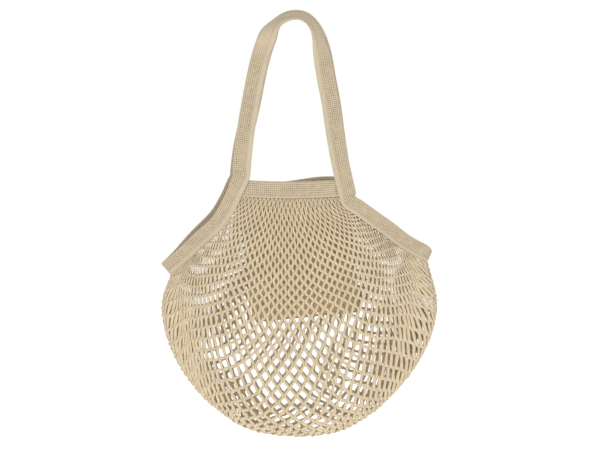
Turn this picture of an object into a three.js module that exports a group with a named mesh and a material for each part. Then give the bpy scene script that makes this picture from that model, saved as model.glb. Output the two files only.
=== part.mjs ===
// A string shopping bag of unbleached cotton, hanging by its two carrying straps.
// One sheet of knotless net runs from the front rim band down over the rounded bottom fold and up to
// the back rim band. Tapes bind its two arm openings, and a flat pocket hangs inside the front.
// Millimetres, +Z up, front facing -Y. The origin is the hang point, under the top of the strap arch.

import * as THREE from "three";

// The tapes and the cloth.
const STRAP_WIDTH = 26;
const SIDE_BAND_WIDTH = 23;
const RIM_BAND_HEIGHT = 24.5;
const TAPE_THICKNESS = 2;
const NET_WALL = 2.5;
const POCKET_WALL = 1.2;
const SEAM_GAP = 0.3;

// The straps: where each foot ends, and how the arch leans at the hang point.
const LEFT_FOOT_OUT = 76;
const LEFT_FOOT_DROP = 220.5;
const RIGHT_FOOT_OUT = 78;
const RIGHT_FOOT_DROP = 256.5;
const ARCH_TWIST = THREE.MathUtils.degToRad(61.5);
const RIDGE_GAP = 0.8;
const BACK_STRAP_RISE = 2;
const BACK_STRAP_SHIFT = 2;
const BACK_LEFT_FOOT_SHIFT = 4.5;
const LEFT_TWIST_DROP = 34;
const RIGHT_TWIST_DROP = 80;
// The share of the drop below which the back strap closes up behind the front one.
const STRAPS_CLOSE_FROM = 0.5;

// The mouth: the rim bands' top edge below the hang point, and half the space between them.
const RIM_DROP = 233;
const RIM_LEFT_END = 82;
const RIM_RIGHT_END = 70;
const RIM_HALF_DEPTH = 20;
const FRONT_RIM_SAG = 3;
const BACK_RIM_RISE = 8;
// Where the back rim's rise begins and ends, as shares of the rim's left and right ends.
const BACK_RISE_FROM = 0.33;
const BACK_RISE_TO = 0.7;

// The corners, where the side bands fold from the front to the back. The left one's back half stands
// a little higher than its front half.
const LEFT_CORNER_OUT = 186;
const LEFT_CORNER_DROP = 363.5;
const RIGHT_CORNER_OUT = 198.5;
const RIGHT_CORNER_DROP = 342.5;
const LEFT_BACK_BAND_RISE = 8.5;
// How far a side band keeps the strap's direction, as a share of its own width.
const BAND_LEAD = 0.33;
// The share of the half turn in which the side band draws in by one layer, to lie against the net.
const LAP_FADE = 0.4;

// The net body's outline below the corners, and how far each face bellies out.
const BODY_WIDTH = 400;
const BODY_OFFSET = 8;
const WIDEST_DROP = 412;
const BOTTOM_DROP = 607;
const BELLY_DEPTH = 22;
// How flat the belly is across: a lower power keeps it fuller towards the sides.
const BELLY_POWER = 0.6;
// The part of the turn, as shares of it, in which the front's edge lines give way to the back's.
const FOLD_FROM = 0.33;
const FOLD_TO = 0.67;

// The pocket, hung from the front rim band with a slight lean.
const POCKET_WIDTH = 158;
const POCKET_HEIGHT = 188;
const POCKET_DROP = 247;
const POCKET_LEAN = THREE.MathUtils.degToRad(5.5);
const POCKET_GAPE = 14;
const POCKET_SEAM = 3;

// How finely the solids are cut.
const NET_COLUMNS = 10;
const NET_ROWS = 12;
const ROW_EASE = 0.07;
const STRAP_STEPS = 44;
const HEAD_STEPS = 5;
const RIM_STEPS = 10;
const POCKET_COLUMNS = 8;
const SEARCH_STEPS = 40;
const SLOPE_STEP = 0.004;

// The hole in each cell of the net, as shares of the cell's half width and half height.
const HOLE_REACH = 0.76;
const HOLE_CORNER = 0.42;

// The left half of the strap arch, from the foot up: shares of the foot's distance out and drop.
const LEFT_ARCH = [
  { out: 1.0, down: 1.0 },
  { out: 0.97, down: 0.874 },
  { out: 0.912, down: 0.715 },
  { out: 0.836, down: 0.556 },
  { out: 0.749, down: 0.397 },
  { out: 0.672, down: 0.278 },
  { out: 0.605, down: 0.199 },
  { out: 0.522, down: 0.119 },
  { out: 0.442, down: 0.066 },
  { out: 0.326, down: 0.016 },
  { out: 0.163, down: -0.017 },
];

// The right half, from the foot up, in the same shares of its own foot.
const RIGHT_ARCH = [
  { out: 1.0, down: 1.0 },
  { out: 0.917, down: 0.888 },
  { out: 0.823, down: 0.751 },
  { out: 0.749, down: 0.615 },
  { out: 0.683, down: 0.478 },
  { out: 0.599, down: 0.342 },
  { out: 0.541, down: 0.239 },
  { out: 0.505, down: 0.171 },
  { out: 0.459, down: 0.103 },
  { out: 0.394, down: 0.051 },
  { out: 0.29, down: 0.009 },
  { out: 0.159, down: -0.017 },
];

// The side bands' middle lines from foot to corner: shares of the run out and the run down.
const LEFT_BAND_LINE = [
  { out: 0.064, down: 0.163 },
  { out: 0.158, down: 0.327 },
  { out: 0.298, down: 0.51 },
  { out: 0.596, down: 0.724 },
  { out: 0.849, down: 0.908 },
  { out: 1.0, down: 1.0 },
];
const RIGHT_BAND_LINE = [
  { out: 0.14, down: 0.21 },
  { out: 0.28, down: 0.354 },
  { out: 0.504, down: 0.575 },
  { out: 0.685, down: 0.771 },
  { out: 0.837, down: 0.897 },
  { out: 1.0, down: 1.0 },
];

// The net body's outline from its widest level to the bottom: shares of the drop between them, and of
// half the body's width on each side.
const BODY_OUTLINE = [
  { down: 0.0, left: 1.0, right: 1.0 },
  { down: 0.18, left: 0.985, right: 0.978 },
  { down: 0.36, left: 0.927, right: 0.912 },
  { down: 0.54, left: 0.832, right: 0.803 },
  { down: 0.715, left: 0.693, right: 0.65 },
  { down: 0.805, left: 0.591, right: 0.555 },
  { down: 0.893, left: 0.474, right: 0.431 },
  { down: 0.965, left: 0.31, right: 0.28 },
  { down: 1.0, left: 0.0, right: 0.0 },
];

// The pocket's levels from mouth to bottom: share of the height, share of the gape, and inset of the
// side edges as a share of the width.
const POCKET_LEVELS = [
  { down: 0.0, gape: 1.0, inset: 0.0 },
  { down: 0.2, gape: 0.9, inset: 0.0 },
  { down: 0.4, gape: 0.72, inset: 0.0 },
  { down: 0.6, gape: 0.5, inset: 0.0 },
  { down: 0.8, gape: 0.24, inset: 0.0 },
  { down: 0.95, gape: 0.05, inset: 0.006 },
  { down: 1.0, gape: 0.0, inset: 0.035 },
];

const LAP = (Math.max(NET_WALL, TAPE_THICKNESS) + TAPE_THICKNESS) / 2 + SEAM_GAP;
const OUTER_LAYER = RIM_HALF_DEPTH + LAP;
const FRONT = -1;
const BACK = 1;
const LEFT = -1;
const RIGHT = 1;

const cottonTape = { color: 0xc2b297, roughness: 0.95, metalness: 0 };
const cottonNet = { color: 0xc8b592, roughness: 0.95, metalness: 0 };
const cottonCloth = { color: 0xb49a70, roughness: 0.95, metalness: 0 };

const bag = new THREE.Group();

// A closed body from its points and triangles, with its faces turned outwards.
function addSolid(name, points, triangles, finish) {
  let volume = 0;
  for (const [a, b, c] of triangles) {
    volume += points[a].dot(new THREE.Vector3().crossVectors(points[b], points[c]));
  }
  const outward = volume > 0 ? triangles : triangles.map(([a, b, c]) => [a, c, b]);
  const geometry = new THREE.BufferGeometry().setFromPoints(points);
  geometry.setIndex(outward.flat());
  geometry.computeVertexNormals();
  const mesh = new THREE.Mesh(geometry, new THREE.MeshStandardMaterial(finish));
  mesh.name = name;
  bag.add(mesh);
}

function quad(triangles, a, b, c, d) {
  triangles.push([a, b, c], [a, c, d]);
}

// A tape swept along its stations. Each has a centre, the direction across the tape and a width.
function addTape(name, stations) {
  const points = [];
  const triangles = [];
  const last = stations.length - 1;
  stations.forEach((station, i) => {
    const before = stations[Math.max(i - 1, 0)].centre;
    const after = stations[Math.min(i + 1, last)].centre;
    const along = new THREE.Vector3().subVectors(after, before);
    const face = new THREE.Vector3().crossVectors(along, station.across).normalize();
    for (const [edge, side] of [[-1, -1], [1, -1], [1, 1], [-1, 1]]) {
      const corner = station.centre.clone();
      corner.addScaledVector(station.across, (edge * station.width) / 2);
      corner.addScaledVector(face, (side * TAPE_THICKNESS) / 2);
      points.push(corner);
    }
  });
  for (let i = 0; i < last; i += 1) {
    for (let k = 0; k < 4; k += 1) {
      const next = (k + 1) % 4;
      quad(triangles, 4 * i + k, 4 * i + next, 4 * i + 4 + next, 4 * i + 4 + k);
    }
  }
  quad(triangles, 3, 2, 1, 0);
  quad(triangles, 4 * last, 4 * last + 1, 4 * last + 2, 4 * last + 3);
  addSolid(name, points, triangles, cottonTape);
}

const smooth = THREE.MathUtils.smoothstep;
const mix = THREE.MathUtils.lerp;

// The straps. Each one's middle line lies in the plane of the picture and is then set back in depth.
// At the hang point the two lean together like a roof, with their outer edges at the ridge.
function footShift(face, side) {
  return face === BACK && side === LEFT ? BACK_LEFT_FOOT_SHIFT : 0;
}

function archPoint(face, side, row) {
  const footOut = side === LEFT ? LEFT_FOOT_OUT : RIGHT_FOOT_OUT;
  const footDrop = side === LEFT ? LEFT_FOOT_DROP : RIGHT_FOOT_DROP;
  const low = smooth(row.down, STRAPS_CLOSE_FROM, 1);
  const back = face === BACK ? 1 - low : 0;
  const x = side * (footOut * row.out + footShift(face, side) * low) + back * BACK_STRAP_SHIFT;
  return new THREE.Vector3(x, 0, -footDrop * row.down + back * BACK_STRAP_RISE);
}

function archLine(face) {
  const apex = new THREE.Vector3(0, 0, (STRAP_WIDTH / 2) * Math.cos(ARCH_TWIST));
  if (face === BACK) {
    apex.x += BACK_STRAP_SHIFT;
    apex.z += BACK_STRAP_RISE;
  }
  const left = LEFT_ARCH.map((row) => archPoint(face, LEFT, row));
  const right = RIGHT_ARCH.map((row) => archPoint(face, RIGHT, row)).reverse();
  return [...left, apex, ...right];
}

function strapStations(face) {
  const line = new THREE.CatmullRomCurve3(archLine(face));
  const apexDepth =
    (STRAP_WIDTH / 2) * Math.sin(ARCH_TWIST) +
    (TAPE_THICKNESS / 2) * Math.cos(ARCH_TWIST) +
    RIDGE_GAP / 2;
  const stations = [];
  for (let i = 0; i <= STRAP_STEPS; i += 1) {
    const centre = line.getPointAt(i / STRAP_STEPS);
    const along = line.getTangentAt(i / STRAP_STEPS);
    const twistDrop = centre.x < 0 ? LEFT_TWIST_DROP : RIGHT_TWIST_DROP;
    const twist = ARCH_TWIST * (1 - smooth(-centre.z, 0, twistDrop));
    const outward = new THREE.Vector3(-along.z, 0, along.x);
    const across = outward.multiplyScalar(Math.cos(twist));
    across.y = -face * Math.sin(twist);
    centre.y = face * mix(apexDepth, OUTER_LAYER, smooth(-centre.z, 0, LEFT_FOOT_DROP));
    stations.push({ centre, across, width: STRAP_WIDTH });
  }
  return stations;
}

addTape("strap_front", strapStations(FRONT));
addTape("strap_back", strapStations(BACK));

// The side bands. Each starts a seam's gap below the strap's foot, in the strap's own direction.
function bandLine(face, side) {
  const arch = archLine(face);
  const [foot, above] = side === LEFT ? [arch[0], arch[1]] : [arch.at(-1), arch.at(-2)];
  const down = new THREE.Vector3().subVectors(foot, above).normalize();
  const start = foot.clone().addScaledVector(down, SEAM_GAP);
  const lead = start.clone().addScaledVector(down, SIDE_BAND_WIDTH * BAND_LEAD);
  const corner = new THREE.Vector3(
    side === LEFT ? -LEFT_CORNER_OUT : RIGHT_CORNER_OUT,
    0,
    side === LEFT ? -LEFT_CORNER_DROP : -RIGHT_CORNER_DROP,
  );
  const rows = side === LEFT ? LEFT_BAND_LINE : RIGHT_BAND_LINE;
  const rise = face === BACK && side === LEFT ? LEFT_BACK_BAND_RISE : 0;
  const points = rows.map((row) => {
    const lift = rise * Math.sin(Math.PI * row.down);
    return new THREE.Vector3(mix(foot.x, corner.x, row.out), 0, mix(foot.z, corner.z, row.down) + lift);
  });
  return new THREE.CatmullRomCurve3([start, lead, ...points]);
}

// The direction across a side band towards the net.
function towardsNet(side, along) {
  return new THREE.Vector3(side * along.z, 0, -side * along.x).normalize();
}

function bandEdge(line, side, share) {
  const across = towardsNet(side, line.getTangentAt(share));
  return line.getPointAt(share).addScaledVector(across, SIDE_BAND_WIDTH / 2 + SEAM_GAP);
}

// The rim bands' top edge. The front one sags a little and the back one rises to the right.
function rimTop(face, x) {
  if (face === FRONT) {
    const fromMiddle = (x + (RIM_LEFT_END - RIM_RIGHT_END) / 2) / ((RIM_LEFT_END + RIM_RIGHT_END) / 2);
    return -RIM_DROP - FRONT_RIM_SAG * (1 - fromMiddle * fromMiddle);
  }
  const risen = smooth(x, -RIM_LEFT_END * BACK_RISE_FROM, RIM_RIGHT_END * BACK_RISE_TO);
  return -RIM_DROP - FRONT_RIM_SAG + BACK_RIM_RISE * risen;
}

// How far along a side band the net begins: where its lower edge passes the rim band's lower edge. It
// is 0 where the strap's foot already reaches as low as that.
function netStart(line, face, side) {
  let low = 0;
  let high = 1;
  for (let i = 0; i < SEARCH_STEPS; i += 1) {
    const middle = (low + high) / 2;
    const edge = bandEdge(line, side, middle);
    if (edge.z > rimTop(face, edge.x) - RIM_BAND_HEIGHT - SEAM_GAP) low = middle;
    else high = middle;
  }
  return low;
}

const sides = new Map();
for (const side of [LEFT, RIGHT]) {
  const lines = new Map();
  for (const face of [FRONT, BACK]) {
    const line = bandLine(face, side);
    lines.set(face, { line, start: netStart(line, face, side) });
  }
  sides.set(side, lines);
}

// The turn runs from 0 at the front rim band, through a half turn at the bottom fold's outline, to a
// whole half circle at the back rim band. The front line gives way to the back line round the fold.
function backShare(turn) {
  return smooth(turn, Math.PI * FOLD_FROM, Math.PI * FOLD_TO);
}

function bandAt(side, turn) {
  const reach = Math.sin(turn);
  const [front, back] = [FRONT, BACK].map((face) => {
    const { line, start } = sides.get(side).get(face);
    const share = Math.min(start + (1 - start) * reach, 1);
    return { centre: line.getPointAt(share), along: line.getTangentAt(share) };
  });
  const centre = front.centre.lerp(back.centre, backShare(turn));
  const along = front.along.lerp(back.along, backShare(turn));
  return { centre, across: towardsNet(side, along) };
}

function turnAt(row) {
  return Math.PI * (row - (ROW_EASE / 2) * Math.sin(2 * Math.PI * row));
}

function sideBandStations(side) {
  const stations = [];
  const head = (face) => {
    const { line, start } = sides.get(side).get(face);
    const list = [];
    const steps = Math.min(Math.round((start * line.getLength()) / TAPE_THICKNESS), HEAD_STEPS);
    for (let i = 0; i < steps; i += 1) {
      const share = (start * i) / steps;
      const centre = line.getPointAt(share);
      centre.y = face * OUTER_LAYER;
      const across = towardsNet(side, line.getTangentAt(share));
      list.push({ centre, across, width: mix(STRAP_WIDTH, SIDE_BAND_WIDTH, i / steps) });
    }
    return list;
  };
  stations.push(...head(FRONT));
  for (let j = 0; j <= 2 * NET_ROWS; j += 1) {
    const turn = turnAt(j / (2 * NET_ROWS));
    const { centre, across } = bandAt(side, turn);
    const lap = LAP * (1 - smooth(Math.sin(turn), 0, LAP_FADE));
    centre.y = -Math.cos(turn) * (RIM_HALF_DEPTH + lap);
    stations.push({ centre, across, width: SIDE_BAND_WIDTH });
  }
  stations.push(...head(BACK).reverse());
  return stations;
}

addTape("side_band_left", sideBandStations(LEFT));
addTape("side_band_right", sideBandStations(RIGHT));

// The rim bands lie one layer further in than the side bands' heads, which cross over their ends.
function addRimBand(name, face) {
  const stations = [];
  for (let i = 0; i <= RIM_STEPS; i += 1) {
    const x = mix(-RIM_LEFT_END, RIM_RIGHT_END, i / RIM_STEPS);
    const centre = new THREE.Vector3(x, face * RIM_HALF_DEPTH, rimTop(face, x) - RIM_BAND_HEIGHT / 2);
    stations.push({ centre, across: new THREE.Vector3(0, 0, -1), width: RIM_BAND_HEIGHT });
  }
  addTape(name, stations);
}

addRimBand("rim_band_front", FRONT);
addRimBand("rim_band_back", BACK);

// The net. A point of its sheet is a share across, from the left arm opening to the right one, and a
// turn from front to back. Its four edges follow the tapes, and the bottom fold follows the outline.
function netSideEdge(side, turn) {
  const { centre, across } = bandAt(side, turn);
  return centre.addScaledVector(across, SIDE_BAND_WIDTH / 2 + SEAM_GAP);
}

function netTopEdge(share, turn) {
  const [front, back] = [FRONT, BACK].map((face) => {
    const [from, to] = [LEFT, RIGHT].map((side) => {
      const { line, start } = sides.get(side).get(face);
      return bandEdge(line, side, start).x;
    });
    const x = mix(from, to, share);
    return new THREE.Vector3(x, 0, rimTop(face, x) - RIM_BAND_HEIGHT - SEAM_GAP);
  });
  return front.lerp(back, backShare(turn));
}

function makeOutline() {
  const place = (row, side) => {
    const share = side === LEFT ? row.left : row.right;
    const x = BODY_OFFSET + side * (BODY_WIDTH / 2) * share;
    return new THREE.Vector3(x, 0, -mix(WIDEST_DROP, BOTTOM_DROP, row.down));
  };
  const left = BODY_OUTLINE.map((row) => place(row, LEFT));
  const right = BODY_OUTLINE.slice(0, -1).map((row) => place(row, RIGHT)).reverse();
  const [from, to] = [LEFT, RIGHT].map((side) => netSideEdge(side, Math.PI / 2));
  return new THREE.CatmullRomCurve3([from, ...left, ...right, to]);
}

const outline = makeOutline();

function netPoint(share, turn) {
  const reach = Math.sin(turn);
  const point = new THREE.Vector3();
  point.addScaledVector(netTopEdge(share, turn), 1 - reach);
  point.addScaledVector(outline.getPointAt(share), reach);
  point.addScaledVector(netSideEdge(LEFT, turn), 1 - share);
  point.addScaledVector(netSideEdge(RIGHT, turn), share);
  point.addScaledVector(netTopEdge(0, turn), -(1 - share) * (1 - reach));
  point.addScaledVector(netTopEdge(1, turn), -share * (1 - reach));
  point.addScaledVector(outline.getPointAt(0), -(1 - share) * reach);
  point.addScaledVector(outline.getPointAt(1), -share * reach);
  const belly = BELLY_DEPTH * Math.pow(Math.max(4 * share * (1 - share), 0), BELLY_POWER);
  point.y = -Math.cos(turn) * (RIM_HALF_DEPTH + 2 * belly * reach);
  return point;
}

// The direction out of the bag. At a seam it is the tape's own, so that the two edges lie flush.
function netOutward(share, turn) {
  if (turn <= 0) return new THREE.Vector3(0, FRONT, 0);
  if (turn >= Math.PI) return new THREE.Vector3(0, BACK, 0);
  const downwards = new THREE.Vector3().subVectors(
    netPoint(share, Math.min(turn + SLOPE_STEP, Math.PI)),
    netPoint(share, Math.max(turn - SLOPE_STEP, 0)),
  );
  if (share === 0 || share === 1) {
    const side = share === 0 ? LEFT : RIGHT;
    const out = new THREE.Vector3().crossVectors(downwards, bandAt(side, turn).across);
    return out.multiplyScalar(-side).normalize();
  }
  const sideways = new THREE.Vector3().subVectors(
    netPoint(Math.min(share + SLOPE_STEP, 1), turn),
    netPoint(Math.max(share - SLOPE_STEP, 0), turn),
  );
  return new THREE.Vector3().crossVectors(downwards, sideways).normalize();
}

function addNet() {
  const points = [];
  const triangles = [];
  const made = new Map();
  // The outer and inner point of the wall at a place counted in half columns and half rows.
  const wallAt = (column, row) => {
    const key = column + "," + row;
    if (!made.has(key)) {
      const share = column / (2 * NET_COLUMNS);
      const turn = turnAt(row / (2 * NET_ROWS));
      const middle = netPoint(share, turn);
      const out = netOutward(share, turn);
      points.push(middle.clone().addScaledVector(out, NET_WALL / 2));
      points.push(middle.clone().addScaledVector(out, -NET_WALL / 2));
      made.set(key, { outer: points.length - 2, inner: points.length - 1 });
    }
    return made.get(key);
  };
  const strip = (a, b, c, d) => {
    quad(triangles, a.outer, b.outer, c.outer, d.outer);
    quad(triangles, d.inner, c.inner, b.inner, a.inner);
  };
  const wall = (a, b) => quad(triangles, a.outer, b.outer, b.inner, a.inner);
  const ring = [[-1, 0], [-1, -1], [0, -1], [1, -1], [1, 0], [1, 1], [0, 1], [-1, 1]];

  // A cell with its hole, round the place where its middle lies.
  const cell = (column, row) => {
    const rim = ring.map(([c, r]) => wallAt(column + c, row + r));
    const hole = ring.map(([c, r]) => {
      const reach = c && r ? HOLE_CORNER : HOLE_REACH;
      return wallAt(column + c * reach, row + r * reach);
    });
    for (let k = 0; k < ring.length; k += 1) {
      const next = (k + 1) % ring.length;
      strip(rim[k], rim[next], hole[next], hole[k]);
      wall(hole[k], hole[next]);
    }
  };
  // The solid half cell that ends each second row at an arm opening.
  const halfCell = (edge, inside, row) => {
    const near = [-1, 0, 1].map((r) => wallAt(edge, row + r));
    const far = [-1, 0, 1].map((r) => wallAt(inside, row + r));
    const turned = inside < edge;
    for (const k of [0, 1]) {
      if (turned) strip(far[k], near[k], near[k + 1], far[k + 1]);
      else strip(near[k], far[k], far[k + 1], near[k + 1]);
    }
  };

  const lastColumn = 2 * NET_COLUMNS;
  const lastRow = 2 * NET_ROWS;
  for (let row = 1; row < lastRow; row += 2) {
    const staggered = ((row - 1) / 2) % 2 === 1;
    for (let column = staggered ? 2 : 1; column < lastColumn; column += 2) cell(column, row);
    if (staggered) {
      halfCell(0, 1, row);
      halfCell(lastColumn, lastColumn - 1, row);
    }
  }
  for (let row = 0; row < lastRow; row += 1) {
    wall(wallAt(0, row), wallAt(0, row + 1));
    wall(wallAt(lastColumn, row + 1), wallAt(lastColumn, row));
  }
  for (let column = 0; column < lastColumn; column += 1) {
    wall(wallAt(column + 1, 0), wallAt(column, 0));
    wall(wallAt(column, lastRow), wallAt(column + 1, lastRow));
  }
  addSolid("net_body", points, triangles, cottonNet);
}

addNet();

// The pocket: a flat pouch behind the front net, open at the top, its mouth tucked behind the rim band.
function addPocket() {
  const points = [];
  const triangles = [];
  const face = -(RIM_HALF_DEPTH - Math.max(NET_WALL, TAPE_THICKNESS) / 2 - 2 * SEAM_GAP);
  // A ring of points at one level: across the front wall, then back across the rear wall.
  const ringAt = (level, inset, wall) => {
    const first = points.length;
    const half = POCKET_WIDTH * (0.5 - level.inset) - inset;
    const columns = Array.from({ length: POCKET_COLUMNS + 1 }, (_, k) => (2 * k) / POCKET_COLUMNS - 1);
    const place = (across, depth) => {
      const x = across * half;
      const drop = level.drop;
      points.push(
        new THREE.Vector3(
          x * Math.cos(POCKET_LEAN) + drop * Math.sin(POCKET_LEAN),
          depth,
          -POCKET_DROP + x * Math.sin(POCKET_LEAN) - drop * Math.cos(POCKET_LEAN),
        ),
      );
    };
    for (const across of columns) place(across, face + wall);
    for (const across of columns.toReversed()) {
      const gape = POCKET_GAPE * level.gape * (1 - across * across);
      place(across, face + 2 * POCKET_WALL + SEAM_GAP + gape - wall);
    }
    return first;
  };
  const ringSize = 2 * (POCKET_COLUMNS + 1);
  const join = (upper, lower, flip) => {
    for (let k = 0; k < ringSize; k += 1) {
      const next = (k + 1) % ringSize;
      if (flip) quad(triangles, upper + next, upper + k, lower + k, lower + next);
      else quad(triangles, upper + k, upper + next, lower + next, lower + k);
    }
  };
  const cap = (ring, flip) => {
    for (let k = 0; k < POCKET_COLUMNS; k += 1) {
      const [a, b] = [ring + k, ring + k + 1];
      const [c, d] = [ring + ringSize - 2 - k, ring + ringSize - 1 - k];
      if (flip) quad(triangles, d, c, b, a);
      else quad(triangles, a, b, c, d);
    }
  };
  const outer = POCKET_LEVELS.map((level) =>
    ringAt({ ...level, drop: POCKET_HEIGHT * level.down }, 0, 0),
  );
  const inner = POCKET_LEVELS.map((level) =>
    ringAt({ ...level, drop: (POCKET_HEIGHT - POCKET_SEAM) * level.down }, POCKET_SEAM, POCKET_WALL),
  );
  for (let i = 1; i < POCKET_LEVELS.length; i += 1) {
    join(outer[i - 1], outer[i], false);
    join(inner[i - 1], inner[i], true);
  }
  join(outer[0], inner[0], true);
  cap(outer.at(-1), false);
  cap(inner.at(-1), true);
  addSolid("inner_pocket", points, triangles, cottonCloth);
}

addPocket();

export default bag;
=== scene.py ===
import math

import bmesh
import bpy
import numpy as np
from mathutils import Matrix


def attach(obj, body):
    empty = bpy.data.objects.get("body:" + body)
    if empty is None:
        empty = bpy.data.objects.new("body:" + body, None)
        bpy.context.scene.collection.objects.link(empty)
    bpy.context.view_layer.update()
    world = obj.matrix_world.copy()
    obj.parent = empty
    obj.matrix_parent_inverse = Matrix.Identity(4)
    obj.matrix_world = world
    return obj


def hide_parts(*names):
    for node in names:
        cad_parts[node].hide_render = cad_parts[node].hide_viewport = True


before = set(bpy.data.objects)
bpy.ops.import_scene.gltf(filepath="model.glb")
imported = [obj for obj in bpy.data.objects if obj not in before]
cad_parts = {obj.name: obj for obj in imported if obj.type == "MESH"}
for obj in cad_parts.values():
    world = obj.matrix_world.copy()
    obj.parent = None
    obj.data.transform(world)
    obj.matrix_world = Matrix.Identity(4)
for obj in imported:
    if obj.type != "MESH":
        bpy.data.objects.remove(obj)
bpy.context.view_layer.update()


# The straps: two lengths of knitted cotton tape, 26 mm wide, each running from a foot at one side of
# the mouth, over the hang point and down to the other. The knit shows as a grid of small holes, and a
# smooth hem is turned along the inner edge. At the top the two lean together like a roof.
FRONT, BACK = -1, 1
LEFT, RIGHT = -1, 1
STRAP_WIDTH = 0.026
TAPE_THICKNESS = 0.002
SEAM_GAP = 0.0003
NET_WALL = 0.0025
LEFT_FOOT_OUT = 0.076
LEFT_FOOT_DROP = 0.2205
RIGHT_FOOT_OUT = 0.078
RIGHT_FOOT_DROP = 0.2565
ARCH_TWIST = math.radians(61.5)
RIDGE_GAP = 0.0008
BACK_STRAP_RISE = 0.002
BACK_STRAP_SHIFT = 0.002
BACK_LEFT_FOOT_SHIFT = 0.0045
LEFT_TWIST_DROP = 0.034
RIGHT_TWIST_DROP = 0.08
STRAPS_CLOSE_FROM = 0.5
STRAP_STATIONS = 600
RIM_HALF_DEPTH = 0.02
LAP = (max(NET_WALL, TAPE_THICKNESS) + TAPE_THICKNESS) / 2 + SEAM_GAP
OUTER_LAYER = RIM_HALF_DEPTH + LAP

# Shares of the foot's distance out and of its drop, from the foot up.
LEFT_ARCH = [
    (1.0, 1.0), (0.97, 0.874), (0.912, 0.715), (0.836, 0.556), (0.749, 0.397), (0.672, 0.278),
    (0.605, 0.199), (0.522, 0.119), (0.442, 0.066), (0.326, 0.016), (0.163, -0.017),
]
RIGHT_ARCH = [
    (1.0, 1.0), (0.917, 0.888), (0.823, 0.751), (0.749, 0.615), (0.683, 0.478), (0.599, 0.342),
    (0.541, 0.239), (0.505, 0.171), (0.459, 0.103), (0.394, 0.051), (0.29, 0.009), (0.159, -0.017),
]

# The knit: from hole to hole, how deep a hole sinks, the hem's width and how far it stands proud.
# Near the top of the arch the tape is stretched along its edge and the holes close.
KNIT_PITCH = 0.00292
HOLE_DEPTH = 0.0008
HEM_WIDTH = 0.0068
HEM_PROUD = 0.0004
EDGE_THINNESS = 0.45
HOLES_SHUT_DROP = 0.02
HOLES_OPEN_DROP = 0.07


def ease(value, low, high):
    share = np.clip((value - low) / (high - low), 0.0, 1.0)
    return share * share * (3.0 - 2.0 * share)


def mix(a, b, share):
    return a + (b - a) * share


def unit(vectors):
    return vectors / np.maximum(np.linalg.norm(vectors, axis=-1, keepdims=True), 1e-12)


def mesh_points(mesh):
    place = np.empty(len(mesh.vertices) * 3)
    mesh.vertices.foreach_get("co", place)
    return place.reshape(-1, 3)


def into_scene(name, data):
    thing = bpy.data.objects.new(name, data)
    bpy.context.collection.objects.link(thing)
    return thing


def finished_piece(name, mesh, spots):
    """A piece whose mesh has its points moved to these spots and its faces turned outwards."""
    mesh.vertices.foreach_set("co", spots.ravel())
    bm = bmesh.new()
    bm.from_mesh(mesh)
    bmesh.ops.recalc_face_normals(bm, faces=bm.faces[:])
    bm.to_mesh(mesh)
    bm.free()
    mesh.shade_smooth()
    return into_scene(name, mesh)


def line_through(points, steps=40):
    """A smooth line through (x, z) points, as its samples and the share of the length at each."""
    points = np.array(points, float)
    ends = np.vstack([2 * points[0] - points[1], points, 2 * points[-1] - points[-2]])
    share = np.linspace(0, 1, steps, endpoint=False)[:, None]
    spans = []
    for a, b, c, d in zip(ends, ends[1:], ends[2:], ends[3:]):
        ab, bc, cd = (math.sqrt(np.linalg.norm(q - p)) for p, q in ((a, b), (b, c), (c, d)))
        leave = ((b - a) / ab - (c - a) / (ab + bc) + (c - b) / bc) * bc
        reach = ((c - b) / bc - (d - b) / (bc + cd) + (d - c) / cd) * bc
        square = (3 * (c - b) - 2 * leave - reach) * share**2
        spans.append(b + leave * share + square + (2 * (b - c) + leave + reach) * share**3)
    samples = np.vstack([*spans, points[-1:]])
    run = np.append(0, np.cumsum(np.linalg.norm(np.diff(samples, axis=0), axis=1)))
    return run / run[-1], samples


def point_on(line, share):
    return np.stack([np.interp(share, line[0], line[1][:, k]) for k in (0, 1)], -1)


def heading_on(line, share):
    step = 0.004
    ahead = point_on(line, np.clip(share + step, 0, 1))
    return unit(ahead - point_on(line, np.clip(share - step, 0, 1)))


def arch_points(face, side):
    out, drop = LEFT_FOOT_OUT, LEFT_FOOT_DROP
    if side == RIGHT:
        out, drop = RIGHT_FOOT_OUT, RIGHT_FOOT_DROP
    shift = BACK_LEFT_FOOT_SHIFT if (face, side) == (BACK, LEFT) else 0
    points = []
    for row_out, row_down in LEFT_ARCH if side == LEFT else RIGHT_ARCH:
        low = float(ease(row_down, STRAPS_CLOSE_FROM, 1))
        back = 1 - low if face == BACK else 0
        x = side * (out * row_out + shift * low) + back * BACK_STRAP_SHIFT
        points.append((x, -drop * row_down + back * BACK_STRAP_RISE))
    return points


def arch_line(face):
    apex = (0.0, STRAP_WIDTH / 2 * math.cos(ARCH_TWIST))
    if face == BACK:
        apex = (BACK_STRAP_SHIFT, apex[1] + BACK_STRAP_RISE)
    return [*arch_points(face, LEFT), apex, *arch_points(face, RIGHT)[::-1]]


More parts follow.
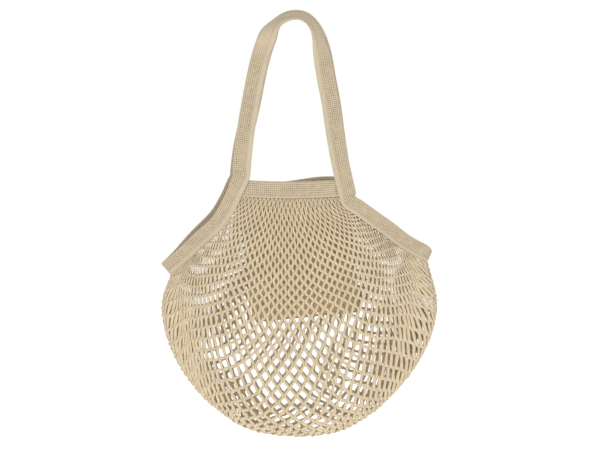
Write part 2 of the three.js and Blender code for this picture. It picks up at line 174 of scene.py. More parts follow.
def strap_route(face):
    """The strap's middle line, the direction across it, its width and how open its holes are."""
    line = line_through(arch_line(face))
    share = np.linspace(0, 1, STRAP_STATIONS)
    spot, along = point_on(line, share), heading_on(line, share)
    drop = -spot[:, 1]
    twist_drop = np.where(spot[:, 0] < 0, LEFT_TWIST_DROP, RIGHT_TWIST_DROP)
    twist = ARCH_TWIST * (1 - ease(drop, 0, twist_drop))
    lean = TAPE_THICKNESS / 2 * math.cos(ARCH_TWIST) + RIDGE_GAP / 2
    apex_depth = STRAP_WIDTH / 2 * math.sin(ARCH_TWIST) + lean
    depth = face * mix(apex_depth, OUTER_LAYER, ease(drop, 0, LEFT_FOOT_DROP))
    centre = np.stack([spot[:, 0], depth, spot[:, 1]], 1)
    for end, inner in ((0, 1), (-1, -2)):
        centre[end] += unit(centre[end] - centre[inner]) * SEAM_GAP
    cosine = np.cos(twist)
    across = np.stack([-along[:, 1] * cosine, -face * np.sin(twist), along[:, 0] * cosine], 1)
    openness = ease(drop, HOLES_SHUT_DROP, HOLES_OPEN_DROP)
    return centre, across, np.full(len(share), STRAP_WIDTH), openness


def knit_tape(name, route, hem_side, hem_width):
    """A tape of knit along a route: a slab cut so finely that each hole of the knit is a dimple."""
    centre, across, width, openness = route
    run = np.append(0, np.cumsum(np.linalg.norm(np.diff(centre, axis=0), axis=1)))
    holes_along = max(round(run[-1] / KNIT_PITCH), 1)
    holes_across = round(float(width.mean()) / KNIT_PITCH)
    bm = bmesh.new()
    bmesh.ops.create_grid(bm, x_segments=2 * holes_along, y_segments=2 * holes_across, size=0.5)
    bmesh.ops.solidify(bm, geom=bm.faces[:], thickness=0.1)
    mesh = bpy.data.meshes.new(name)
    bm.to_mesh(mesh)
    bm.free()
    place = mesh_points(mesh)
    upper = np.where(place[:, 2] > place[:, 2].mean(), 1.0, -1.0)
    # How far along and across the tape a point lies, counted in holes.
    along_holes = (place[:, 0] + 0.5) * holes_along
    across_holes = (place[:, 1] + 0.5) * holes_across
    distance = along_holes / holes_along * run[-1]
    edge = 1 - np.abs(place[:, 1]) * 2
    wide = np.interp(distance, run, width)
    inward = np.where(hem_side * place[:, 1] > 0, edge, 2 - edge) * wide / 2
    knit = ease(inward, hem_width, hem_width + KNIT_PITCH * 0.6)
    knit = knit * ease(edge * wide / 2, KNIT_PITCH * 0.4, KNIT_PITCH * 0.8)
    opened = np.interp(distance, run, openness)
    hole = np.sin(math.pi * along_holes) ** 2 * np.sin(math.pi * across_holes) ** 2
    rounded = mix(EDGE_THINNESS, 1.0, ease(edge * wide / 2, 0, KNIT_PITCH))
    height = (TAPE_THICKNESS / 2 + HEM_PROUD * (1 - knit)) * rounded
    height = height - HOLE_DEPTH * hole * knit * opened
    base = np.stack([np.interp(distance, run, centre[:, k]) for k in range(3)], 1)
    over = unit(np.stack([np.interp(distance, run, across[:, k]) for k in range(3)], 1))
    steer = np.gradient(centre, axis=0)
    steer = np.stack([np.interp(distance, run, steer[:, k]) for k in range(3)], 1)
    face = unit(np.cross(steer, over))
    spots = base + over * (place[:, 1] * wide)[:, None] + face * (height * upper)[:, None]
    mark = mesh.attributes.new("knit", "FLOAT_VECTOR", "POINT")
    mark.data.foreach_set("vector", np.stack([along_holes, across_holes, knit], 1).ravel())
    mark = mesh.attributes.new("holes_open", "FLOAT", "POINT")
    mark.data.foreach_set("value", opened)
    return finished_piece(name, mesh, spots)


def math_node(nodes, links, operation, first, second=None, third=None):
    node = nodes.new("ShaderNodeMath")
    node.operation = operation
    for socket, value in zip(node.inputs, (first, second, third)):
        if value is None:
            continue
        if isinstance(value, (int, float)):
            socket.default_value = value
        else:
            links.new(value, socket)
    return node.outputs[0]


def noise_node(nodes, links, where, scale, detail=2):
    node = nodes.new("ShaderNodeTexNoise")
    node.inputs["Scale"].default_value = scale
    node.inputs["Detail"].default_value = detail
    links.new(where, node.inputs["Vector"])
    return node.outputs["Fac"]


def range_node(nodes, links, value, given=(0, 1), wanted=(0, 1), smooth=False):
    """Takes a value from the given range over to the wanted one."""
    node = nodes.new("ShaderNodeMapRange")
    if smooth:
        node.interpolation_type = "SMOOTHSTEP"
    for socket, number in zip(("From Min", "From Max", "To Min", "To Max"), (*given, *wanted)):
        node.inputs[socket].default_value = number
    links.new(value, node.inputs["Value"])
    return node.outputs["Result"]


# What all the cotton shares: soft blotches of lighter and darker yarn, and a short fuzz of fibres.
def cotton_fibre_group():
    group = bpy.data.node_groups.new("cotton_fibre", "ShaderNodeTree")
    sockets = group.interface
    sockets.new_socket("Colour", in_out="INPUT", socket_type="NodeSocketColor")
    sockets.new_socket("Blotch", in_out="INPUT", socket_type="NodeSocketFloat")
    sockets.new_socket("Colour", in_out="OUTPUT", socket_type="NodeSocketColor")
    sockets.new_socket("Fuzz", in_out="OUTPUT", socket_type="NodeSocketFloat")
    sockets.new_socket("Roughness", in_out="OUTPUT", socket_type="NodeSocketFloat")
    nodes, links = group.nodes, group.links
    given, out = nodes.new("NodeGroupInput"), nodes.new("NodeGroupOutput")
    where = nodes.new("ShaderNodeTexCoord").outputs["Object"]
    blotch = noise_node(nodes, links, where, 38, 3)
    fleck = noise_node(nodes, links, where, 420)
    fuzz = noise_node(nodes, links, where, 1500, 3)
    both = math_node(nodes, links, "ADD", blotch, fleck)
    level = range_node(nodes, links, both, (0.6, 1.4), (-1, 1))
    swing = math_node(nodes, links, "MULTIPLY_ADD", level, given.outputs["Blotch"], 1)
    tint = nodes.new("ShaderNodeHueSaturation")
    links.new(given.outputs["Colour"], tint.inputs["Color"])
    links.new(swing, tint.inputs["Value"])
    rough = range_node(nodes, links, fleck, (0, 1), (0.86, 0.98))
    links.new(tint.outputs["Color"], out.inputs["Colour"])
    links.new(fuzz, out.inputs["Fuzz"])
    links.new(rough, out.inputs["Roughness"])
    return group


cotton_fibre = cotton_fibre_group()


def cotton_material(name, colour, blotch):
    """A cotton finish: returns the material, its tree, the fibre group's node and the shader."""
    material = bpy.data.materials.new(name)
    material.use_nodes = True
    nodes, links = material.node_tree.nodes, material.node_tree.links
    shader = nodes["Principled BSDF"]
    shader.inputs["Sheen Weight"].default_value = 0.25
    shader.inputs["Sheen Roughness"].default_value = 0.5
    shader.inputs["Specular IOR Level"].default_value = 0.25
    fibre = nodes.new("ShaderNodeGroup")
    fibre.node_tree = cotton_fibre
    fibre.inputs["Colour"].default_value = (*colour, 1)
    fibre.inputs["Blotch"].default_value = blotch
    links.new(fibre.outputs["Roughness"], shader.inputs["Roughness"])
    return material, nodes, links, fibre, shader


def mark_nodes(nodes, links, name):
    """A piece's own attribute, whole and as its three parts."""
    mark = nodes.new("ShaderNodeAttribute")
    mark.attribute_name = name
    split = nodes.new("ShaderNodeSeparateXYZ")
    links.new(mark.outputs["Vector"], split.inputs[0])
    return mark.outputs["Vector"], split.outputs


def darken(nodes, links, fibre, shader, share, dark_colour):
    """Paints shade: takes the cotton's colour over to a darker one by a share."""
    tone = nodes.new("ShaderNodeMix")
    tone.data_type = "RGBA"
    links.new(share, tone.inputs["Factor"])
    links.new(fibre.outputs["Colour"], tone.inputs["A"])
    tone.inputs["B"].default_value = (*dark_colour, 1)
    links.new(tone.outputs["Result"], shader.inputs["Base Color"])


def roughen(nodes, links, shader, height, distance, strength):
    """Gives the cotton a fine relief from a height between 0 and 1 or so."""
    bump = nodes.new("ShaderNodeBump")
    bump.inputs["Distance"].default_value = distance
    bump.inputs["Strength"].default_value = strength
    links.new(height, bump.inputs["Height"])
    links.new(bump.outputs["Normal"], shader.inputs["Normal"])


# The tape's own colour, and the dark colour painted as shade into its holes and along its hem's
# groove.
TAPE_COLOUR = (0.505, 0.418, 0.29)
HOLE_SHADE_COLOUR = (0.15, 0.105, 0.06)


def tape_material():
    material, nodes, links, fibre, shader = cotton_material("knitted_tape", TAPE_COLOUR, 0.07)
    knit, knit_parts = mark_nodes(nodes, links, "knit")
    dents = []
    for axis in ("X", "Y"):
        dent = math_node(nodes, links, "MULTIPLY", knit_parts[axis], math.pi)
        dent = math_node(nodes, links, "SINE", dent)
        dent = math_node(nodes, links, "ABSOLUTE", dent)
        dents.append(math_node(nodes, links, "POWER", dent, 2))
    # Painted shade: the insides of the knit's holes are darkened towards the hole shade colour, more
    # where the holes are open and unevenly from patch to patch.
    hole = math_node(nodes, links, "MULTIPLY", dents[0], dents[1])
    dark = range_node(nodes, links, hole, (0.12, 0.6), smooth=True)
    hole_shade_noise = noise_node(nodes, links, knit, 0.4)
    open_share = range_node(nodes, links, hole_shade_noise, (0.3, 0.7), (0.35, 1.0))
    opened = nodes.new("ShaderNodeAttribute")
    opened.attribute_name = "holes_open"
    painted_shade = math_node(nodes, links, "MULTIPLY", dark, open_share)
    painted_shade = math_node(nodes, links, "MULTIPLY", painted_shade, knit_parts["Z"])
    painted_shade = math_node(nodes, links, "MULTIPLY", painted_shade, opened.outputs["Fac"])
    # Painted shade along the stitched groove at the hem's border, and along the tape's outer edges,
    # where the knit's mask is half way.
    rest = math_node(nodes, links, "SUBTRACT", 1, knit_parts["Z"])
    line = math_node(nodes, links, "MULTIPLY", knit_parts["Z"], rest)
    painted_shade = math_node(nodes, links, "MULTIPLY_ADD", line, 0.8, painted_shade)
    darken(nodes, links, fibre, shader, painted_shade, HOLE_SHADE_COLOUR)
    rib = math_node(nodes, links, "MULTIPLY", hole, -0.6)
    height = math_node(nodes, links, "MULTIPLY_ADD", fibre.outputs["Fuzz"], 0.35, rib)
    roughen(nodes, links, shader, height, 0.0006, 0.7)
    return material


knitted_tape = tape_material()
for face, node in ((FRONT, "strap_front"), (BACK, "strap_back")):
    strap = knit_tape("knit_" + node, strap_route(face), -1, HEM_WIDTH)
    strap.data.materials.append(knitted_tape)
    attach(strap, "root")
    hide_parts(node)


# The side bands: the same tape, 23 mm wide, sewn to the straps' feet and bound along the net's two
# side edges. Each runs down from the front strap's foot, folds at the corner and runs up to the back
# strap's foot.
SIDE_BAND_WIDTH = 0.023
LEFT_CORNER_OUT = 0.186
LEFT_CORNER_DROP = 0.3635
RIGHT_CORNER_OUT = 0.1985
RIGHT_CORNER_DROP = 0.3425
LEFT_BACK_BAND_RISE = 0.0085
LEFT_HEM_WIDTH = 0.0068
RIGHT_HEM_WIDTH = 0.0042
RIGHT_CORNER_INSET = 0.005
RIGHT_CORNER_REACH = 0.45
SHORTEST_HEAD = 0.02
HEAD_STATIONS = 60
BAND_STATIONS = 500
BAND_LEAD = 0.33
LAP_FADE = 0.4
FOLD_FROM = 0.33
FOLD_TO = 0.67
RIM_DROP = 0.233
RIM_LEFT_END = 0.082
RIM_RIGHT_END = 0.07
RIM_BAND_HEIGHT = 0.0245
FRONT_RIM_SAG = 0.003
BACK_RIM_RISE = 0.008
BACK_RISE_FROM = 0.33
BACK_RISE_TO = 0.7
LEFT_BAND_LINE = [
    (0.064, 0.163), (0.158, 0.327), (0.298, 0.51), (0.596, 0.724), (0.849, 0.908), (1.0, 1.0),
]
RIGHT_BAND_LINE = [
    (0.14, 0.21), (0.28, 0.354), (0.504, 0.575), (0.685, 0.771), (0.837, 0.897), (1.0, 1.0),
]


def band_line(face, side):
    arch = np.array(arch_line(face))
    foot, above = (arch[0], arch[1]) if side == LEFT else (arch[-1], arch[-2])
    down = unit(foot - above)
    start = foot + down * SEAM_GAP
    lead = start + down * SIDE_BAND_WIDTH * BAND_LEAD
    corner = np.array([LEFT * LEFT_CORNER_OUT, -LEFT_CORNER_DROP])
    if side == RIGHT:
        corner = np.array([RIGHT_CORNER_OUT, -RIGHT_CORNER_DROP])
    rise = LEFT_BACK_BAND_RISE if (face, side) == (BACK, LEFT) else 0
    points = [start, lead]
    for out, down_share in LEFT_BAND_LINE if side == LEFT else RIGHT_BAND_LINE:
        x = mix(foot[0], corner[0], out)
        z = mix(foot[1], corner[1], down_share) + rise * math.sin(math.pi * down_share)
        points.append((x, z))
    return line_through(points)


def towards_net(side, along):
    return unit(np.stack([side * along[..., 1], -side * along[..., 0]], -1))


def band_edge(line, side, share, beyond):
    across = towards_net(side, heading_on(line, share))
    return point_on(line, share) + across * (SIDE_BAND_WIDTH / 2 + beyond)


def rim_top(face, x):
    if face == FRONT:
        half = (RIM_LEFT_END + RIM_RIGHT_END) / 2
        off_middle = (x + (RIM_LEFT_END - RIM_RIGHT_END) / 2) / half
        return -RIM_DROP - FRONT_RIM_SAG * (1 - off_middle**2)
    risen = ease(x, -RIM_LEFT_END * BACK_RISE_FROM, RIM_RIGHT_END * BACK_RISE_TO)
    return -RIM_DROP - FRONT_RIM_SAG + BACK_RIM_RISE * risen


def net_start(line, face, side):
    """The share of the side band at which its lower edge passes the rim band's lower edge."""
    low, high = 0.0, 1.0
    for _ in range(40):
        middle = (low + high) / 2
        x, z = band_edge(line, side, np.array(middle), SEAM_GAP)
        if z > rim_top(face, x) - RIM_BAND_HEIGHT - SEAM_GAP:
            low = middle
        else:
            high = middle
    return low


bands = {}
for side in (LEFT, RIGHT):
    for face in (FRONT, BACK):
        line = band_line(face, side)
        bands[side, face] = line, net_start(line, face, side)


def back_share(turn):
    return ease(turn, math.pi * FOLD_FROM, math.pi * FOLD_TO)


def band_at(side, turn):
    """The band's middle and the direction across it, at a turn from 0 (front rim) to pi (back rim)."""
    spots, alongs = [], []
    for face in (FRONT, BACK):
        line, start = bands[side, face]
        share = np.minimum(start + (1 - start) * np.sin(turn), 1)
        spots.append(point_on(line, share))
        alongs.append(heading_on(line, share))
    part = back_share(turn)[..., None]
    return mix(spots[0], spots[1], part), towards_net(side, mix(alongs[0], alongs[1], part))


def side_band_route(side):
    centres, acrosses, widths = [], [], []

    def add(spot, across, depth, width):
        centres.append(np.stack([spot[:, 0], depth, spot[:, 1]], 1))
        acrosses.append(np.stack([across[:, 0], 0 * depth, across[:, 1]], 1))
        widths.append(width)

    def head(face):
        line, start = bands[side, face]
        part = np.linspace(0, 1, HEAD_STATIONS, endpoint=False)
        if face == BACK:
            part = part[::-1]
        share = start * part
        width = mix(STRAP_WIDTH, SIDE_BAND_WIDTH, part)
        across = towards_net(side, heading_on(line, share))
        add(point_on(line, share), across, np.full(len(part), face * OUTER_LAYER), width)

    if bands[side, FRONT][1] > SHORTEST_HEAD:
        head(FRONT)
    turn = np.linspace(0, math.pi, BAND_STATIONS)
    spot, across = band_at(side, turn)
    lap = LAP * (1 - ease(np.sin(turn), 0, LAP_FADE))
    inset = 0 * turn
    if side == RIGHT:
        inset = RIGHT_CORNER_INSET * (1 - ease(np.abs(np.cos(turn)), 0, RIGHT_CORNER_REACH))
    spot = spot + across * inset[:, None] / 2
    add(spot, across, -np.cos(turn) * (RIM_HALF_DEPTH + lap), SIDE_BAND_WIDTH - inset)
    if bands[side, BACK][1] > SHORTEST_HEAD:
        head(BACK)
    width = np.concatenate(widths)
    return np.vstack(centres), np.vstack(acrosses), width, np.ones(len(width))


for side, node, hem in (
    (LEFT, "side_band_left", LEFT_HEM_WIDTH), (RIGHT, "side_band_right", RIGHT_HEM_WIDTH)
):
    band = knit_tape("knit_" + node, side_band_route(side), 1, hem)
    band.data.materials.append(knitted_tape)
    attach(band, "root")
    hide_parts(node)


# The rim bands: short straight lengths of the tape, over the gathered top edges of the net. The
# front one sags a little, and the back one rises to the right, where it shows over the front one.
RIM_HEM_WIDTH = 0.0014
RIM_STATIONS = 200


def rim_route(face):
    x = np.linspace(-RIM_LEFT_END, RIM_RIGHT_END, RIM_STATIONS)
    middle = rim_top(face, x) - RIM_BAND_HEIGHT / 2
    every = np.ones(RIM_STATIONS)
    centre = np.stack([x, face * RIM_HALF_DEPTH * every, middle], 1)
    return centre, every[:, None] * [0.0, 0.0, -1.0], RIM_BAND_HEIGHT * every, every


for face, node in ((FRONT, "rim_band_front"), (BACK, "rim_band_back")):
    rim = knit_tape("knit_" + node, rim_route(face), 1, RIM_HEM_WIDTH)
    rim.data.materials.append(knitted_tape)
    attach(rim, "root")
    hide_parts(node)


# The net: soft two-ply cotton yarn, knitted without knots. Neighbouring yarns lie side by side for a
# few stitches and then part, which makes diamond cells. The sheet is gathered under the rim bands and
# along the side bands, and fans out over a rounded fold at the bottom.
BODY_WIDTH = 0.4
BODY_OFFSET = 0.008
WIDEST_DROP = 0.412
BOTTOM_DROP = 0.607
BELLY_DEPTH = 0.022
BELLY_POWER = 0.6
BODY_OUTLINE = [
    (0.0, 1.0, 1.0), (0.18, 0.985, 0.978), (0.36, 0.927, 0.912), (0.54, 0.832, 0.803),
    (0.715, 0.693, 0.65), (0.805, 0.591, 0.555), (0.893, 0.474, 0.431), (0.965, 0.31, 0.28),
    (1.0, 0.0, 0.0),
]
YARN_RADIUS = 0.0021
YARN_FLATNESS = 0.62
BAND_SQUEEZE = 0.33
FOLD_SQUEEZE = 0.44
CELL_SQUEEZE = 0.37
FOLD_CELL_SQUEEZE = 0.42
FOLD_FROM_LOW = 0.82
FOLD_FROM_SIDE = 0.64
FOLD_SIDES = (0.35, 0.75)
FOLD_FADE = 0.15
FOLD_SWELL = 0.3
YARN_WOBBLE = 0.1
WOBBLE_SEED = 7
THINNEST_YARN = 0.3
SIDE_BY_SIDE = 0.72
OVER_AND_UNDER = 0.3
TUCK = 0.0012
RIGHT_DROOP = 0.0028
HALF_ROWS = 42
RINGS_A_ROW = 4
YARN_SIDES = 7

# The cells across the net, by how far down it is from the rim (0) to the fold (1).
CELLS_ACROSS = [(0.0, 25), (0.25, 25), (0.87, 34), (1.0, 39)]

# How far round the net turns in a half row, in degrees, from the rim (0) to the fold (1).
ROW_PACE = [
    (0.0, 1.25), (0.47, 1.35), (0.55, 2.3), (0.66, 2.66), (0.79, 3.85), (0.86, 3.6), (1.0, 3.4),
]


def net_side_edge(side, turn):
    """The net's edge under the side band. The upper right one hangs a little clear of its band."""
    spot, across = band_at(side, turn)
    droop = 0 * turn
    if side == RIGHT:
        droop = RIGHT_DROOP * ease(turn, 0.02, 0.2) * (1 - ease(turn, 0.55, 1.0))
    return spot + across * (SIDE_BAND_WIDTH / 2 - TUCK + droop)[..., None]


def net_top_edge(share, turn):
    tops = []
    for face in (FRONT, BACK):
        ends = []
        for side in (LEFT, RIGHT):
            line, start = bands[side, face]
            ends.append(band_edge(line, side, np.array(start), -TUCK)[0])
        x = mix(ends[0], ends[1], share)
        tops.append(np.stack([x, rim_top(face, x) - RIM_BAND_HEIGHT + TUCK], -1))
    return mix(tops[0], tops[1], back_share(turn)[..., None])


quarter = np.array(math.pi / 2)
outline_left = [
    (BODY_OFFSET - BODY_WIDTH / 2 * left, -mix(WIDEST_DROP, BOTTOM_DROP, down))
    for down, left, _ in BODY_OUTLINE
]
outline_right = [
    (BODY_OFFSET + BODY_WIDTH / 2 * right, -mix(WIDEST_DROP, BOTTOM_DROP, down))
    for down, _, right in BODY_OUTLINE[-2::-1]
]
fold_line = line_through(
    [net_side_edge(LEFT, quarter), *outline_left, *outline_right, net_side_edge(RIGHT, quarter)]
)


def net_point(share, turn):
    """A point of the net's sheet: a share across it, and a turn from its front rim to its back rim."""
    reach, over = np.sin(turn)[..., None], share[..., None]
    none = np.zeros_like(share)
    fold = [point_on(fold_line, end) for end in (none, none + 1)]
    top = [net_top_edge(end, turn) for end in (none, none + 1)]
    spot = net_top_edge(share, turn) * (1 - reach) + point_on(fold_line, share) * reach
    spot = spot + net_side_edge(LEFT, turn) * (1 - over) + net_side_edge(RIGHT, turn) * over
    for k, part in ((0, 1 - over), (1, over)):
        spot = spot - part * (top[k] * (1 - reach) + fold[k] * reach)
    belly = BELLY_DEPTH * np.maximum(4 * share * (1 - share), 0) ** BELLY_POWER
    depth = -np.cos(turn) * (RIM_HALF_DEPTH + 2 * belly * np.sin(turn))
    return np.stack([spot[..., 0], depth, spot[..., 1]], -1)


def waves(share, turn, seed, count):
    """A smooth uneven field over the sheet: the sum of a few slanting waves, mostly from -1 to 1."""
    draw = np.random.default_rng(seed)
    total = np.zeros_like(share)
    for _ in range(count):
        along, around = draw.uniform(-9, 9, 2)
        total = total + np.sin(along * share * 2 + around * turn + draw.uniform(0, 2 * math.pi))
    return total / math.sqrt(count)


# The lattice of meeting places of the yarns, and the way out of, along and across the sheet there.
# Low in the middle the two faces hang alike, cell over cell. Elsewhere they slip and twist, the back
# one more than the front one. A slip is in cells across and in half rows.
CALM_SHARE = 0.46
CALM_SHARE_SPREAD = 0.14
CALM_TURN = 0.8
CALM_TURN_SPREAD = 0.3
CALM_STILLNESS = 0.9
SLIP_ACROSS = (0.45, 1.0)
SLIP_ROUND = (0.6, 1.4)
LOOSE_ACROSS = 0.0006
LOOSE_DOWN = 0.0008
SLIP_ACROSS_SEED, SLIP_ROUND_SEED, LOOSE_SEED = 21, 22, 5
SLIP_WAVES = 7
SEWN_ACROSS = (0.2, 0.8)
SEWN_DOWN_TO = 0.93
BACK_FROM_TURN, BACK_TO_TURN = 1.2, 1.9
half_row = np.arange(2 * HALF_ROWS + 1)
pace_rows = np.linspace(0, 1, 400)
pace = np.cumsum(np.interp(pace_rows, *zip(*ROW_PACE)))
quarter_turn = np.interp(half_row[: HALF_ROWS + 1] / HALF_ROWS, pace_rows, pace - pace[0])
quarter_turn = quarter_turn / quarter_turn[-1] * math.pi / 2
row_turn = np.concatenate([quarter_turn, math.pi - quarter_turn[-2::-1]])
even_quarter = np.arcsin(half_row[: HALF_ROWS + 1] / HALF_ROWS)
even_turn = np.concatenate([even_quarter, math.pi - even_quarter[-2::-1]])
most_cells = CELLS_ACROSS[-1][1]
half_column = np.arange(-most_cells, most_cells + 1)
turn = np.repeat(row_turn[None], len(half_column), 0)
cells = np.interp(np.sin(turn), *zip(*CELLS_ACROSS))
share = 0.5 + half_column[:, None] / (2 * cells)
hidden = (share <= 0) | (share >= 1)
share = np.clip(share, 0, 1)
# Along the side bands the rows are sewn on evenly, as far down as the fold.
sewn = ease(np.abs(2 * share - 1), *SEWN_ACROSS) * (1 - ease(np.sin(turn), SEWN_DOWN_TO, 1.0))
turn = mix(turn, even_turn[None], sewn)
inside = np.sin(math.pi * share) ** 0.5 * np.sin(turn) ** 0.5
back = ease(turn, BACK_FROM_TURN, BACK_TO_TURN)
level = np.minimum(turn, math.pi - turn)
off_share = (share - CALM_SHARE) / CALM_SHARE_SPREAD
off_turn = (level - CALM_TURN) / CALM_TURN_SPREAD
calm = np.exp(-(off_share**2) - off_turn**2)
inside = inside * (1 - CALM_STILLNESS * calm)
drift = mix(*SLIP_ACROSS, back) * inside / cells
share = np.clip(share + drift * waves(share, turn, SLIP_ACROSS_SEED, SLIP_WAVES), 0, 1)
pace_here = np.repeat(np.gradient(row_turn)[None], len(half_column), 0)
twist = mix(*SLIP_ROUND, back) * pace_here * inside
turn = turn + twist * waves(share, turn, SLIP_ROUND_SEED, SLIP_WAVES)
turn = np.clip(turn, 0, math.pi)

step = 0.003
spots = net_point(share, turn)
down_sheet = net_point(share, np.clip(turn + step, 0, math.pi)) - net_point(
    share, np.clip(turn - step, 0, math.pi)
)
over_sheet = net_point(np.clip(share + step, 0, 1), turn) - net_point(
    np.clip(share - step, 0, 1), turn
)
outward = unit(np.cross(down_sheet, over_sheet))
outward[:, 0] = (0, FRONT, 0)
outward[:, -1] = (0, BACK, 0)
downward = unit(down_sheet)
rightward = unit(np.cross(outward, downward))
draw = np.random.default_rng(LOOSE_SEED)
loose = (inside > 0.2)[..., None] * np.minimum(inside, 1)[..., None]
spots = spots + loose * rightward * draw.normal(0, LOOSE_ACROSS, turn.shape)[..., None]
spots = spots + loose * downward * draw.normal(0, LOOSE_DOWN, turn.shape)[..., None]

# Where the net is gathered, its yarns are squeezed thinner and still lie side by side. Round the fold
# they swell and close the cells.
over_cell, down_cell = np.gradient(spots, axis=0), np.gradient(spots, axis=1)
half_cell = np.linalg.norm(over_cell, axis=2)
cell_area = np.linalg.norm(np.cross(over_cell, down_cell), axis=2)
strand = np.maximum(
    np.linalg.norm(over_cell + down_cell, axis=2), np.linalg.norm(over_cell - down_cell, axis=2)
)
apart = 2 * cell_area / np.maximum(strand, 1e-9)
fold_from = mix(FOLD_FROM_LOW, FOLD_FROM_SIDE, ease(np.abs(2 * share - 1), *FOLD_SIDES))
at_fold = ease(np.sin(turn), fold_from, fold_from + FOLD_FADE)
beside_yarn = apart * mix(BAND_SQUEEZE, FOLD_SQUEEZE, at_fold)
inside_cell = half_cell * mix(CELL_SQUEEZE, FOLD_CELL_SQUEEZE, at_fold)
yarn_size = np.minimum(beside_yarn, inside_cell)
swell = 1 + FOLD_SWELL * at_fold
yarn_size = np.clip(yarn_size, YARN_RADIUS * THINNEST_YARN, YARN_RADIUS * swell)[..., None]


def yarn_paths(first_row):
    """The middle of each yarn at each ring, with the sheet's outward direction there."""
    yarns = len(half_column) - 1
    ring = np.arange(HALF_ROWS * RINGS_A_ROW + 1)
    row = np.minimum(ring // RINGS_A_ROW, HALF_ROWS - 1)
    part = (ring / RINGS_A_ROW - row)[None, :, None]
    row = (row + first_row)[None]
    yarn = np.arange(yarns)[:, None]
    here, there = yarn + (yarn + row) % 2, yarn + (yarn + row + 1) % 2
    part_over = ease(part, 0.1, 0.9)

    def between(field):
        upper = mix(field[here, row], field[there, row], part_over)
        lower = mix(field[here, row + 1], field[there, row + 1], part_over)
        return mix(upper, lower, part)

    side = mix(1.0 - 2.0 * (here - yarn), 1.0 - 2.0 * (there - yarn), part_over[..., 0])
    out, right = unit(between(outward)), unit(between(rightward))
    draw = np.random.default_rng(WOBBLE_SEED + first_row)
    uneven = draw.normal(0, YARN_WOBBLE, (yarns, len(ring), 1))
    size = between(yarn_size) * (1 + np.clip(uneven, -2 * YARN_WOBBLE, 2 * YARN_WOBBLE))
    middle = between(spots)
    middle = middle + right * size * (side * SIDE_BY_SIDE)[..., None]
    middle = middle + out * size * (side * OVER_AND_UNDER)[..., None]
    gone = hidden[here, row] & hidden[there, row + 1]
    return middle, out, size, gone


def yarn_net(name, first_row):
    """One face of the net: a tube for each yarn, in an array, bent along the yarns' paths."""
    rings = HALF_ROWS * RINGS_A_ROW
    # The straight tubes, of radius 1, stand this far apart in the array.
    spread = 4
    bm = bmesh.new()
    bmesh.ops.create_cone(bm, cap_ends=True, segments=YARN_SIDES, radius1=1, radius2=1, depth=rings)
    long_edges = [e for e in bm.edges if abs(e.verts[0].co.z - e.verts[1].co.z) > 1]
    bmesh.ops.subdivide_edges(bm, edges=long_edges, cuts=rings - 1)
    mesh = bpy.data.meshes.new(name)
    bm.to_mesh(mesh)
    bm.free()
    tube = into_scene(name + "_tube", mesh)
    row = tube.modifiers.new("yarns", "ARRAY")
    row.count = len(half_column) - 1
    row.use_relative_offset = False
    row.use_constant_offset = True
    row.constant_offset_displace = (spread, 0, 0)
    graph = bpy.context.evaluated_depsgraph_get()
    mesh = bpy.data.meshes.new_from_object(tube.evaluated_get(graph))
    bpy.data.objects.remove(tube)
    middle, out, size, gone = yarn_paths(first_row)
    bm = bmesh.new()
    bm.from_mesh(mesh)
    doomed = []
    for face in bm.faces:
        spot = face.calc_center_median()
        if gone[round(spot.x / spread), min(int(spot.z + rings / 2), rings - 1)]:
            doomed.append(face)
    bmesh.ops.delete(bm, geom=doomed, context="FACES")
    bmesh.ops.holes_fill(bm, edges=[e for e in bm.edges if e.is_boundary], sides=YARN_SIDES)
    bmesh.ops.recalc_face_normals(bm, faces=bm.faces[:])
    bm.to_mesh(mesh)
    bm.free()
    place = mesh_points(mesh)
    yarn = np.round(place[:, 0] / spread).astype(int)
    ring = np.round(place[:, 2] + rings / 2).astype(int)
    cosine, sine = place[:, 0] - yarn * spread, place[:, 1]
    forward = unit(np.gradient(middle, axis=1))
    sideways = unit(np.cross(out, forward))
    upright = np.cross(forward, sideways)
    bend = sideways[yarn, ring] * cosine[:, None]
    bend = bend + upright[yarn, ring] * sine[:, None] * YARN_FLATNESS
    run = np.linalg.norm(np.diff(middle, axis=1, prepend=middle[:, :1]), axis=2).cumsum(1)
    mark = mesh.attributes.new("yarn", "FLOAT_VECTOR", "POINT")
    mark.data.foreach_set("vector", np.stack([cosine, sine, run[yarn, ring]], 1).ravel())
    return finished_piece(name, mesh, middle[yarn, ring] + bend * size[yarn, ring])


YARN_COLOUR = (0.64, 0.525, 0.352)
YARN_TWIST = 1500


def yarn_material():
    material, nodes, links, fibre, shader = cotton_material("net_yarn", YARN_COLOUR, 0.08)
    _, yarn = mark_nodes(nodes, links, "yarn")
    angle = math_node(nodes, links, "ARCTAN2", yarn["Y"], yarn["X"])
    lay = math_node(nodes, links, "MULTIPLY", yarn["Z"], YARN_TWIST)
    ply = math_node(nodes, links, "MULTIPLY_ADD", angle, 2, lay)
    ply = math_node(nodes, links, "SINE", ply)
    ply = math_node(nodes, links, "ABSOLUTE", ply)
    # Painted shade: the yarn's colour darkens in the grooves between its twisted plies.
    groove_shade = range_node(nodes, links, ply, (0, 0.55), (0.78, 1))
    shade = nodes.new("ShaderNodeHueSaturation")
    links.new(fibre.outputs["Colour"], shade.inputs["Color"])
    links.new(groove_shade, shade.inputs["Value"])
    links.new(shade.outputs["Color"], shader.inputs["Base Color"])
    height = math_node(nodes, links, "MULTIPLY_ADD", fibre.outputs["Fuzz"], 0.4, ply)
    roughen(nodes, links, shader, height, 0.0004, 0.8)
    return material


net_yarn = yarn_material()
for name, first_row, rim in (
    ("net_front", 0, "knit_rim_band_front"), ("net_back", HALF_ROWS, "knit_rim_band_back")
):
    net = yarn_net(name, first_row)
    net.data.materials.append(net_yarn)
    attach(net, "root")
    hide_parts("net_body")


